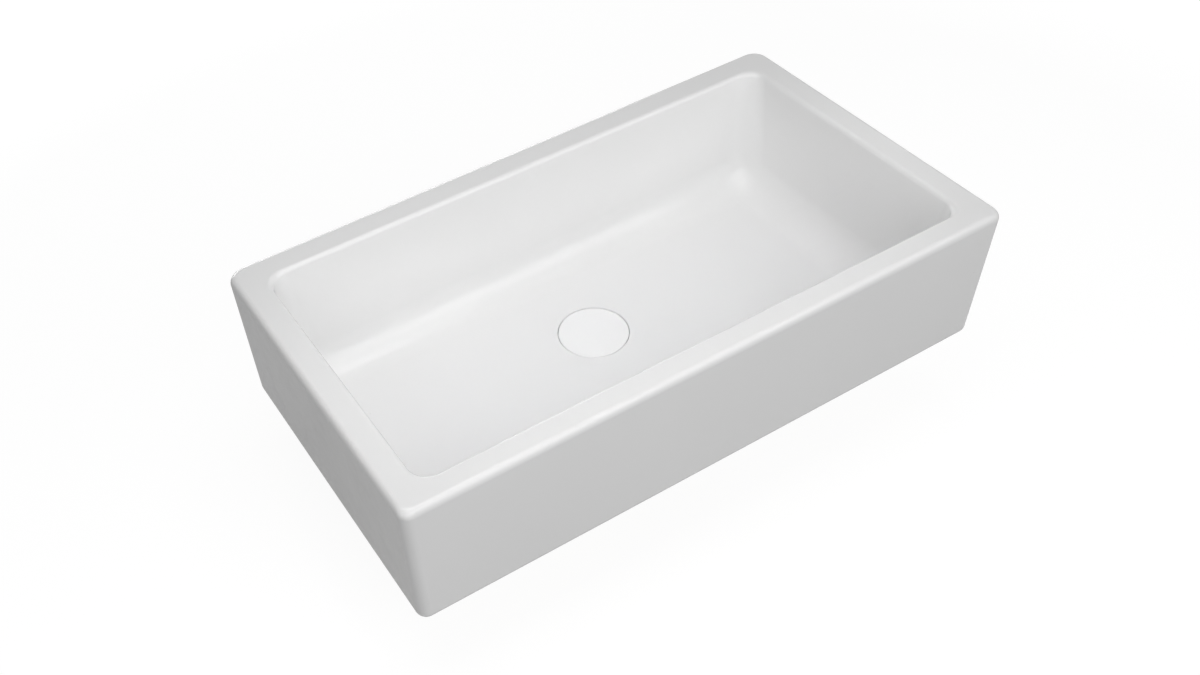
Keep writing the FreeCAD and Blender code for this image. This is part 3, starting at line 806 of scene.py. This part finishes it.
def remap(tree, value, low, high, new_low=0.0, new_high=1.0):
    """Stretches a value from one range to another and holds it there."""
    made = node(tree, "ShaderNodeMapRange")
    labels = ("Value", "From Min", "From Max", "To Min", "To Max")
    for label, bound in zip(labels, (value, low, high, new_low, new_high)):
        feed(tree, bound, made.inputs[label])
    return made.outputs["Result"]


def blend(tree, share, one, two):
    """Mixes two colours by a share from 0 to 1."""
    made = node(tree, "ShaderNodeMix", data_type="RGBA")
    feed(tree, share, made.inputs["Factor"])
    feed(tree, one, made.inputs[6])
    feed(tree, two, made.inputs[7])
    return made.outputs[2]


def brightened(tree, colour, factor):
    """A colour made lighter or darker by a factor."""
    made = node(tree, "ShaderNodeHueSaturation")
    feed(tree, colour, made.inputs["Color"])
    feed(tree, factor, made.inputs["Value"])
    return made.outputs["Color"]


def bump(tree, height, distance, under=None):
    """A normal from a height, from 0 to 1 over a distance in metres, on top of another normal."""
    made = node(tree, "ShaderNodeBump")
    feed(tree, height, made.inputs["Height"])
    feed(tree, distance, made.inputs["Distance"])
    if under is not None:
        feed(tree, under, made.inputs["Normal"])
    return made.outputs["Normal"]


# %% [markdown]
# ## Glaze over cast clay
#
# Fired glaze isn't quite flat. It lies in slow waves a few centimetres long, which bend
# reflections, with a faint orange peel and a rare pinhole on top. Its white also drifts a little
# from place to place. One group gives all of that as a colour, a roughness and a normal.

# %% The glaze group
WAVE_SCALE, CLOUD_SCALE, GLOSS_SCALE, PEEL_SCALE, PINHOLE_SCALE = 9.0, 3.5, 30.0, 420.0, 28.0
PINHOLE_EDGE = (0.012, 0.028)
PINHOLE_CHANCE = (0.90, 0.93)
PEEL_DEPTH = 0.004 * MM
glaze_skin, entry, leave, place = new_group(
    "glaze_skin",
    [
        ("White", COLOUR, (0.8, 0.8, 0.8, 1.0)),
        ("Drift", NUMBER, 0.03),
        ("Gloss", NUMBER, 0.15),
        ("Wave Height", NUMBER, 0.4 * MM),
        ("Fleck", NUMBER, 0.12),
    ],
    SKIN,
)
cells = node(glaze_skin, "ShaderNodeTexVoronoi", Scale=PINHOLE_SCALE)
feed(glaze_skin, place, cells.inputs["Vector"])
pinhole = remap(glaze_skin, cells.outputs["Distance"], *PINHOLE_EDGE, 1.0, 0.0)
chance = node(glaze_skin, "ShaderNodeSeparateColor")
feed(glaze_skin, cells.outputs["Color"], chance.inputs["Color"])
rare = remap(glaze_skin, chance.outputs["Red"], *PINHOLE_CHANCE)
fleck = maths(glaze_skin, "MULTIPLY", pinhole, rare)

cloudy = remap(glaze_skin, noise(glaze_skin, place, CLOUD_SCALE, 2.0), *MOST)
drifted = maths(glaze_skin, "MULTIPLY", cloudy, entry["Drift"])
flecked = maths(glaze_skin, "MULTIPLY", fleck, entry["Fleck"])
kept_white = maths(glaze_skin, "SUBTRACT", 1.0, maths(glaze_skin, "ADD", drifted, flecked))
feed(glaze_skin, brightened(glaze_skin, entry["White"], kept_white), leave["Colour"])

uneven = remap(glaze_skin, noise(glaze_skin, place, GLOSS_SCALE, 4.0), *MOST, 0.8, 1.25)
feed(glaze_skin, maths(glaze_skin, "MULTIPLY", entry["Gloss"], uneven), leave["Roughness"])

slow = noise(glaze_skin, place, WAVE_SCALE, 1.0)
peel = maths(glaze_skin, "SUBTRACT", noise(glaze_skin, place, PEEL_SCALE, 2.0), fleck)
waves = bump(glaze_skin, slow, entry["Wave Height"])
feed(glaze_skin, bump(glaze_skin, peel, PEEL_DEPTH, under=waves), leave["Normal"])
print("group", glaze_skin.name, "with", len(glaze_skin.nodes), "nodes")

# %% [markdown]
# ## Bare clay under the foot
#
# A casting stands on its foot in the kiln, where glaze would stick it to the shelf, so the
# underside is wiped clean and fires to a bare, buff, slightly sandy clay. The line where the
# glaze stops wanders a little. This group tells bare from glazed by height, and gives the clay's
# own colour and grain.

# %% The bare foot group
WANDER_SCALE, SAND_SCALE, STAIN_SCALE = 25.0, 900.0, 14.0
WANDER = 1.2 * MM
LINE_SOFTNESS = 0.4 * MM
SAND_DEPTH = 0.15 * MM
bare_foot, entry, leave, place = new_group(
    "bare_foot",
    [
        ("Level", NUMBER, 0.0),
        ("Clay", COLOUR, (0.74, 0.68, 0.59, 1.0)),
        ("Smooth Normal", VECTOR, (0.0, 0.0, 0.0)),
    ],
    [("Bare", NUMBER), ("Colour", COLOUR), ("Normal", VECTOR)],
)
split = node(bare_foot, "ShaderNodeSeparateXYZ")
feed(bare_foot, place, split.inputs["Vector"])
wander = remap(bare_foot, noise(bare_foot, place, WANDER_SCALE, 3.0), *MOST, -WANDER, WANDER)
height = maths(bare_foot, "ADD", split.outputs["Z"], wander)
above = maths(bare_foot, "SUBTRACT", height, entry["Level"])
bare = remap(bare_foot, above, -LINE_SOFTNESS, LINE_SOFTNESS, 1.0, 0.0)
feed(bare_foot, bare, leave["Bare"])

stain = remap(bare_foot, noise(bare_foot, place, STAIN_SCALE, 5.0), *MOST, 0.88, 1.06)
feed(bare_foot, brightened(bare_foot, entry["Clay"], stain), leave["Colour"])

sand = maths(bare_foot, "MULTIPLY", noise(bare_foot, place, SAND_SCALE, 4.0), bare)
feed(bare_foot, bump(bare_foot, sand, SAND_DEPTH, under=entry["Smooth Normal"]), leave["Normal"])
print("group", bare_foot.name, "with", len(bare_foot.nodes), "nodes")


# %% Materials for the bowl and the cap
def empty_tree(holder):
    """Turns nodes on for a material or a world, and clears what Blender puts there."""
    holder.use_nodes = True
    holder.node_tree.nodes.clear()
    return holder.node_tree


def new_material(name, **plain):
    """A material with one shader. What is the same all over is set on the shader itself."""
    made = bpy.data.materials.new(name)
    tree = empty_tree(made)
    shader = node(tree, "ShaderNodeBsdfPrincipled", **plain)
    leave = node(tree, "ShaderNodeOutputMaterial")
    feed(tree, shader.outputs["BSDF"], leave.inputs["Surface"])
    return made, tree, shader


def use_group(tree, group, **values):
    """Places a group in a material. In a value's name, an underscore stands for a space."""
    made = node(tree, "ShaderNodeGroup", node_tree=group)
    for name, value in values.items():
        made.inputs[name.replace("_", " ")].default_value = value
    return made


IOR = 1.5
GLOSS = 0.21
BARE_ROUGHNESS = 0.9
CAP_WHITE = (0.97, 0.97, 0.97, 1.0)
BOWL_WHITE = (0.9, 0.9, 0.9, 1.0)
BOWL_BARE = UNDERSIDE + 2 * MM
CAP_BARE = cap_foot + 0.4 * MM


def glazed(name, white, drift, wave, foot_level):
    """Glaze, down to the level where the bare foot starts."""
    made, tree, shader = new_material(name, IOR=IOR)
    skin = use_group(tree, glaze_skin, White=white, Drift=drift, Gloss=GLOSS, Wave_Height=wave)
    clay = use_group(tree, bare_foot, Level=foot_level)
    bare = clay.outputs["Bare"]
    feed(tree, skin.outputs["Normal"], clay.inputs["Smooth Normal"])
    colour = blend(tree, bare, skin.outputs["Colour"], clay.outputs["Colour"])
    rough = remap(tree, bare, 0.0, 1.0, skin.outputs["Roughness"], BARE_ROUGHNESS)
    feed(tree, colour, shader.inputs["Base Color"])
    feed(tree, rough, shader.inputs["Roughness"])
    feed(tree, clay.outputs["Normal"], shader.inputs["Normal"])
    return made


finishes = {
    "glaze": glazed("white_glaze", BOWL_WHITE, 0.02, 0.5 * MM, BOWL_BARE),
    "cap_glaze": glazed("bright_glaze", CAP_WHITE, 0.01, 0.1 * MM, CAP_BARE),
}
print("glazes:", ", ".join(made.name for made in finishes.values()))

# %% [markdown]
# ## Steel, rubber, plastic and fibre
#
# The waste's metal is turned or pressed stainless steel, whose fine marks run round the axis. Its
# rubber and plastic pieces come out of moulds, with a faint grain and a few scuffs. The slip ring
# is pressed fibre. Two groups do for all of them: marks that run round, and the skin of something
# moulded.

# %% The turned marks group
LINE_SCALE, SMEAR_SCALE = 3500.0, 60.0
turned_marks, entry, leave, place = new_group(
    "turned_marks",
    [
        ("Metal", COLOUR, (0.6, 0.6, 0.6, 1.0)),
        ("Roughness", NUMBER, 0.25),
        ("Depth", NUMBER, 0.004 * MM),
    ],
    SKIN,
)
split = node(turned_marks, "ShaderNodeSeparateXYZ")
feed(turned_marks, place, split.inputs["Vector"])
across = maths(turned_marks, "MULTIPLY", split.outputs["X"], split.outputs["X"])
along = maths(turned_marks, "MULTIPLY", split.outputs["Y"], split.outputs["Y"])
radius = maths(turned_marks, "SQRT", maths(turned_marks, "ADD", across, along), 0.0)
rounds = node(turned_marks, "ShaderNodeCombineXYZ")
feed(turned_marks, radius, rounds.inputs["X"])
feed(turned_marks, split.outputs["Z"], rounds.inputs["Y"])
lines = noise(turned_marks, rounds.outputs["Vector"], LINE_SCALE, 4.0)

smear = noise(turned_marks, place, SMEAR_SCALE, 4.0)
shine = remap(turned_marks, smear, *MOST, 0.93, 1.05)
feed(turned_marks, brightened(turned_marks, entry["Metal"], shine), leave["Colour"])

mixed = maths(turned_marks, "ADD", maths(turned_marks, "MULTIPLY", lines, 0.5), smear)
uneven = remap(turned_marks, mixed, 0.45, 1.05, 0.7, 1.4)
rough = maths(turned_marks, "MULTIPLY", entry["Roughness"], uneven)
feed(turned_marks, rough, leave["Roughness"])
feed(turned_marks, bump(turned_marks, lines, entry["Depth"]), leave["Normal"])
print("group", turned_marks.name, "with", len(turned_marks.nodes), "nodes")

# %% The moulded skin group
BLOTCH_SCALE = 70.0
moulded_skin, entry, leave, place = new_group(
    "moulded_skin",
    [
        ("Colour", COLOUR, (0.7, 0.7, 0.7, 1.0)),
        ("Mottle", NUMBER, 0.06),
        ("Roughness", NUMBER, 0.5),
        ("Grain Size", NUMBER, 900.0),
        ("Grain Depth", NUMBER, 0.01 * MM),
    ],
    SKIN,
)
blotch = noise(moulded_skin, place, BLOTCH_SCALE, 5.0)
grain = noise(moulded_skin, place, entry["Grain Size"], 3.0)
darker = maths(moulded_skin, "MULTIPLY", remap(moulded_skin, blotch, *MOST), entry["Mottle"])
kept_shade = maths(moulded_skin, "SUBTRACT", 1.0, darker)
feed(moulded_skin, brightened(moulded_skin, entry["Colour"], kept_shade), leave["Colour"])

mixed = maths(moulded_skin, "ADD", blotch, grain)
uneven = remap(moulded_skin, mixed, 0.7, 1.3, 0.8, 1.2)
rough = maths(moulded_skin, "MULTIPLY", entry["Roughness"], uneven)
feed(moulded_skin, rough, leave["Roughness"])
feed(moulded_skin, bump(moulded_skin, grain, entry["Grain Depth"]), leave["Normal"])
print("group", moulded_skin.name, "with", len(moulded_skin.nodes), "nodes")


# %% Materials for the waste
def from_group(name, group, plain, **values):
    """A material whose shader takes colour, roughness and normal from one group."""
    made, tree, shader = new_material(name, **plain)
    skin = use_group(tree, group, **values)
    feed(tree, skin.outputs["Colour"], shader.inputs["Base Color"])
    feed(tree, skin.outputs["Roughness"], shader.inputs["Roughness"])
    feed(tree, skin.outputs["Normal"], shader.inputs["Normal"])
    return made


def steel(name, shade, roughness, depth):
    """Stainless steel of a shade of grey, a little warm, with turned marks of a depth in metres."""
    metal = (shade, shade, shade * 0.985, 1.0)
    values = {"Metal": metal, "Roughness": roughness, "Depth": depth}
    return from_group(name, turned_marks, {"Metallic": 1.0}, **values)


def moulded(name, colour, roughness, mottle, size, depth):
    """Rubber, plastic or fibre. size is the grain's scale, and depth its depth in metres."""
    values = {"Roughness": roughness, "Mottle": mottle, "Grain_Size": size, "Grain_Depth": depth}
    return from_group(name, moulded_skin, {}, Colour=(*colour, 1.0), **values)


finishes |= {
    "steel": steel("polished_steel", 0.62, 0.16, 0.003 * MM),
    "steel_sheet": steel("satin_steel", 0.6, 0.4, 0.006 * MM),
    "soft_rubber": moulded("soft_pad", (0.75, 0.75, 0.74), 0.55, 0.06, 900.0, 0.01 * MM),
    "white_rubber": moulded("pale_rubber", (0.7, 0.7, 0.68), 0.6, 0.08, 700.0, 0.01 * MM),
    "black_rubber": moulded("matt_black_rubber", (0.03, 0.03, 0.03), 0.55, 0.3, 800.0, 0.02 * MM),
    "fibre": moulded("pressed_fibre", (0.45, 0.33, 0.2), 0.85, 0.35, 1600.0, 0.06 * MM),
    "nut_plastic": moulded("moulded_nut", (0.78, 0.78, 0.77), 0.36, 0.04, 500.0, 0.006 * MM),
    "clip_plastic": moulded("moulded_clip", (0.7, 0.7, 0.68), 0.45, 0.05, 600.0, 0.006 * MM),
    "pipe_plastic": moulded("drawn_pipe", (0.8, 0.8, 0.79), 0.35, 0.05, 90.0, 0.01 * MM),
}
print("finishes:", ", ".join(sorted(finishes)))

# %% [markdown]
# ## Dressing the pieces
#
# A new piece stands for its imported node, rides on that node's body and takes its slot from the
# record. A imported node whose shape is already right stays, and gets its slot's finish.


# %% Stand the new pieces for their nodes, and finish every piece
record = frame["record"]
slot_of = {part["node"]: part["material_slot"] for part in record["subparts"]}
body_of = {name: body for body, names in record["behaviour"]["bodies"].items() for name in names}


def finish_with(piece, slot):
    """Gives a piece one material all over."""
    piece.data.materials.clear()
    piece.data.materials.append(finishes[slot])


stands_for = {
    "sink_bowl": bowl,
    "drain_cap": cap,
    "tailpiece": tube,
    "coupling_nut": coupling,
    "locknut": lugged,
    "strainer_body": strainer,
    "basket_cup": basket,
    "basket_knob": knob,
    "stopper_seal": stopper,
    "under_gasket": gasket,
}
for name, packed in nodes.items():
    piece = stands_for.get(name, packed)
    finish_with(piece, slot_of[name])
    if name in stands_for:
        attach(piece, body_of[name])
        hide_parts(name)
print(len(stands_for), "nodes replaced,", len(nodes) - len(stands_for), "kept as packed")

# %% [markdown]
# ## Floor, light and camera
#
# The photograph is a cut-out on white, so the floor and the surroundings are white to the eye. A
# brighter lamp would whiten the floor too, but it would burn out the glaze. So most of the
# floor's white is a glow that only the eye and the mirrors in the glaze can see, and the rest is
# matt paper, which takes the sink's shadow. Further from the sink, where no shadow falls, the
# glow takes over.

# %% What the eye sees, and what only lights
def seen_directly(tree, by_eye, mirrored):
    """A share for the rays that show a surface to the eye, and another for those that mirror it."""
    path = node(tree, "ShaderNodeLightPath").outputs
    reflected = maths(tree, "MAXIMUM", path["Is Glossy Ray"], path["Is Transmission Ray"])
    shares = maths(tree, "MULTIPLY", path["Is Camera Ray"], by_eye)
    return maths(tree, "MAXIMUM", shares, maths(tree, "MULTIPLY", reflected, mirrored))


def mix_shaders(tree, share, one, two):
    """Goes from one shader to another by a share from 0 to 1."""
    made = node(tree, "ShaderNodeMixShader")
    for socket, value in zip(made.inputs, (share, one, two)):
        feed(tree, value, socket)
    return made.outputs["Shader"]


# %% The floor
FLOOR_LEVEL = -0.5 * MM
FLAT_TO_EYE = 0.82
FLAT_IN_MIRROR = 0.15
FLOOR_GLOW = 1.1
SHADOW_REACH = (1.2, 2.4)
PAPER = (0.9, 0.9, 0.9, 1.0)
PAPER_BOUNCE = (0.32, 0.32, 0.32, 1.0)
WHITE = (1.0, 1.0, 1.0, 1.0)
floor = add("plane", "floor", size=16, location=(0, 0, FLOOR_LEVEL))
paper = bpy.data.materials.new("white_floor")
tree = empty_tree(paper)
matt = node(tree, "ShaderNodeBsdfDiffuse")
feed(tree, blend(tree, seen_directly(tree, 1.0, 1.0), PAPER_BOUNCE, PAPER), matt.inputs["Color"])
glow = node(tree, "ShaderNodeEmission", Color=WHITE, Strength=FLOOR_GLOW)
away = node(tree, "ShaderNodeVectorMath", operation="LENGTH")
feed(tree, node(tree, "ShaderNodeTexCoord").outputs["Object"], away.inputs[0])
to_eye = remap(tree, away.outputs["Value"], *SHADOW_REACH, FLAT_TO_EYE, 1.0)
flat = seen_directly(tree, to_eye, FLAT_IN_MIRROR)
lit = mix_shaders(tree, flat, matt.outputs["BSDF"], glow.outputs["Emission"])
below = node(tree, "ShaderNodeNewGeometry").outputs["Backfacing"]
clear = node(tree, "ShaderNodeBsdfTransparent").outputs["BSDF"]
leave = node(tree, "ShaderNodeOutputMaterial")
feed(tree, mix_shaders(tree, below, lit, clear), leave.inputs["Surface"])
floor.data.materials.append(paper)
print("floor at", round(FLOOR_LEVEL / MM, 1), "mm, all glow beyond", SHADOW_REACH[1], "m")

# %% The surroundings
AROUND = 0.21
world = bpy.data.worlds.new("white_room")
bpy.context.scene.world = world
tree = empty_tree(world)
room = node(tree, "ShaderNodeBackground", Color=WHITE, Strength=AROUND).outputs["Background"]
white = node(tree, "ShaderNodeBackground", Color=WHITE, Strength=1.0).outputs["Background"]
leave = node(tree, "ShaderNodeOutputWorld")
feed(tree, mix_shaders(tree, seen_directly(tree, 1.0, 1.0), room, white), leave.inputs["Surface"])
print("light from all round:", AROUND)

# %% [markdown]
# ## Lamps and camera
#
# The photograph's light is soft and comes from the front and above, with no hard highlight. Four
# panels give it: a wide one before the apron, a small one over the near left corner, a narrow one
# that lifts the basin's floor, and a low one behind, which keeps the back from going grey when it
# is looked at.


# %% The lamps
def panel(name, place, target, size, brightness, spread=180):
    """A soft rectangular lamp. Its brightness is that of its face, where 1 is paper white."""
    lamp = bpy.data.lights.new(name, "AREA")
    lamp.shape = "RECTANGLE"
    lamp.size, lamp.size_y = size
    lamp.energy = brightness * math.pi * size[0] * size[1]
    lamp.spread = math.radians(spread)
    holder = bpy.data.objects.new(name, lamp)
    holder.location = place
    holder.rotation_euler = (Vector(target) - Vector(place)).to_track_quat("-Z", "Y").to_euler()
    bpy.context.scene.collection.objects.link(holder)
    print(f"lamp {name}: {lamp.energy:.1f} W")


SINK_MIDDLE = (0, -0.03, 0.3)
panel("above", (-0.3, -0.25, 1.5), (-0.3, -0.25, 0), (1.0, 0.7), 2.3)
panel("front", (-0.1, -2.5, 1.9), SINK_MIDDLE, (5.4, 2.2), 1.55)
panel("into_basin", (0, -0.08, 1.9), (0, -0.08, 0), (0.7, 0.12), 0.62, spread=20)
panel("back_fill", (0.3, 2.8, 0.5), SINK_MIDDLE, (2.6, 0.9), 3.6)

# %% The camera, at the photograph's angle
camera_lens = bpy.data.cameras.new("photo_camera")
camera_lens.lens = 37.66
camera_lens.shift_x = 0.1152
camera_lens.shift_y = 0.0551
camera_lens.clip_start = 0.05
camera = bpy.data.objects.new("photo_camera", camera_lens)
camera.location = (-0.6916, -1.0146, 1.3583)
camera.rotation_euler = (math.radians(42.993), math.radians(4.602), math.radians(-30.396))
bpy.context.scene.collection.objects.link(camera)
bpy.context.scene.camera = camera
bpy.context.scene.view_settings.view_transform = "Standard"
print(f"camera {Vector(camera.location).length:.2f} m from the drain's foot")
